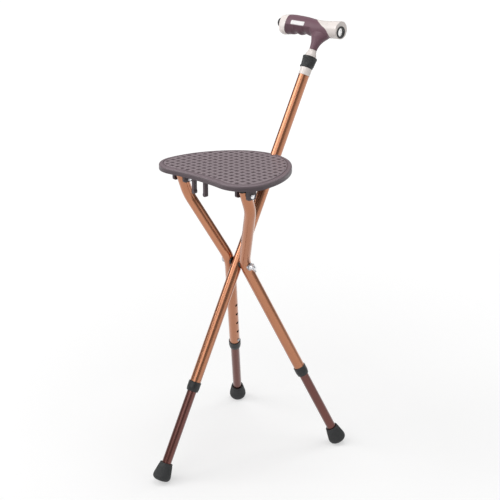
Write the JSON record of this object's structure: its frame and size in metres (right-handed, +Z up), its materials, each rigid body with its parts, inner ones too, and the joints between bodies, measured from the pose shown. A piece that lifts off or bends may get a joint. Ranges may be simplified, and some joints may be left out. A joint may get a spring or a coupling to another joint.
{
  "type": "walking stick seat",
  "caption": "Height-adjustable walking stick that opens into a low seat: a long cane crossed by a pair of bent tube legs carrying a moulded woven-pattern seat, with a torch in the handle.",
  "frame": {"origin": "on the floor, at the centre of the footprint's bounding box", "axes": "+Z up; +X towards the torch end of the handle; +Y towards the handle, so the seat's notch faces -Y"},
  "size_m": [0.2978, 0.4434, 0.7817],
  "materials": {
    "bronze_tube": "anodised bronze, satin",
    "black_plastic": "fine matt",
    "steel": "plain",
    "ivory_plastic": "smooth",
    "grip_rubber": "soft, matt",
    "white_plate": "bare",
    "cell_jacket": "plain jacket",
    "spring_steel": "plain",
    "board": "plain",
    "clear_lens": "clear",
    "chrome": "polished",
    "brown_tube": "anodised dark brown, satin",
    "foot_rubber": "ribbed, matt",
    "seat_plastic": "woven relief",
    "button_rubber": "matt"
  },
  "bodies": {
    "stick": {"stick_tube": "bronze_tube", "stick_collar": "black_plastic", "seat_rest_pin": "steel", "top_bush": "ivory_plastic", "neck_ring": "ivory_plastic", "stem_tube": "steel", "stem_pin": "steel", "grip": "grip_rubber", "label_plate": "white_plate", "torch_housing": "ivory_plastic", "end_cap": "ivory_plastic", "switch_block": "black_plastic", "battery_tube": "black_plastic", "battery_cells": "cell_jacket", "battery_spring": "spring_steel", "led_board": "board", "led": "clear_lens", "reflector": "chrome", "lens": "clear_lens", "torch_bezel": "black_plastic", "button_spring": "spring_steel"},
    "stick_foot_slider": {"stick_lower_tube": "brown_tube", "stick_foot": "foot_rubber", "stick_foot_disc": "steel"},
    "stick_button": {"stick_spring_button": "spring_steel"},
    "legs": {"left_leg_tube": "bronze_tube", "right_leg_tube": "bronze_tube", "left_leg_collar": "black_plastic", "right_leg_collar": "black_plastic", "leg_top_plugs": "black_plastic", "pivot_spacers": "black_plastic", "pivot_washers": "steel", "pivot_bolt": "chrome"},
    "left_foot_slider": {"left_leg_lower_tube": "brown_tube", "left_leg_foot": "foot_rubber", "left_leg_foot_disc": "steel"},
    "left_button": {"left_leg_spring_button": "spring_steel"},
    "right_foot_slider": {"right_leg_lower_tube": "brown_tube", "right_leg_foot": "foot_rubber", "right_leg_foot_disc": "steel"},
    "right_button": {"right_leg_spring_button": "spring_steel"},
    "wing_nut": {"wing_nut": "chrome"},
    "seat": {"seat_shell": "seat_plastic", "hinge_screws": "steel", "hinge_nuts": "steel"},
    "lock_collar": {"lock_collar": "black_plastic"},
    "torch_button": {"torch_button": "button_rubber"}
  },
  "joints": [
    {"name": "fold", "type": "hinge", "parent": "stick", "child": "legs", "pos_m": [0, -0.0131, 0.3685], "axis": [-1, 0, 0], "range_deg": [0, 49.25]},
    {"name": "seat_fold", "type": "hinge", "parent": "legs", "child": "seat", "pos_m": [0, -0.07221, 0.52576], "axis": [1, 0, 0], "range_deg": [0, 110.6]},
    {"name": "stick_foot_slide", "type": "slide", "parent": "stick", "child": "stick_foot_slider", "axis": [0, 0.4795, 0.8776], "range_m": [0, 0.1016]},
    {"name": "stick_button_press", "type": "slide", "parent": "stick_foot_slider", "child": "stick_button", "axis": [0, -0.8776, 0.4795], "range_m": [0, 0.003], "stiffness_N_per_m": 800, "deforming": ["stick_spring_button"]},
    {"name": "wing_nut_turn", "type": "hinge", "parent": "legs", "child": "wing_nut", "pos_m": [0, -0.0131, 0.3685], "axis": [1, 0, 0], "continuous": true},
    {"name": "lock_collar_turn", "type": "hinge", "parent": "stick", "child": "lock_collar", "pos_m": [0, 0.16574, 0.69583], "axis": [0, 0.4795, 0.8776], "continuous": true},
    {"name": "torch_button_press", "type": "slide", "parent": "stick", "child": "torch_button", "axis": [1, 0, 0], "range_m": [0, 0.0015], "stiffness_N_per_m": 900, "deforming": ["button_spring"]},
    {"name": "left_foot_slide", "type": "slide", "parent": "legs", "child": "left_foot_slider", "axis": [0.2856, -0.3372, 0.8971], "range_m": [0, 0.1016]},
    {"name": "left_button_press", "type": "slide", "parent": "left_foot_slider", "child": "left_button", "axis": [-0.9583, -0.1005, 0.2674], "range_m": [0, 0.003], "stiffness_N_per_m": 800, "deforming": ["left_leg_spring_button"]},
    {"name": "right_foot_slide", "type": "slide", "parent": "legs", "child": "right_foot_slider", "axis": [-0.2856, -0.3372, 0.8971], "range_m": [0, 0.1016]},
    {"name": "right_button_press", "type": "slide", "parent": "right_foot_slider", "child": "right_button", "axis": [0.9583, -0.1005, 0.2674], "range_m": [0, 0.003], "stiffness_N_per_m": 800, "deforming": ["right_leg_spring_button"]}
  ],
  "couplings": [
    {"joint": "seat_fold", "follows": "fold", "ratio": 2.2457}
  ]
}
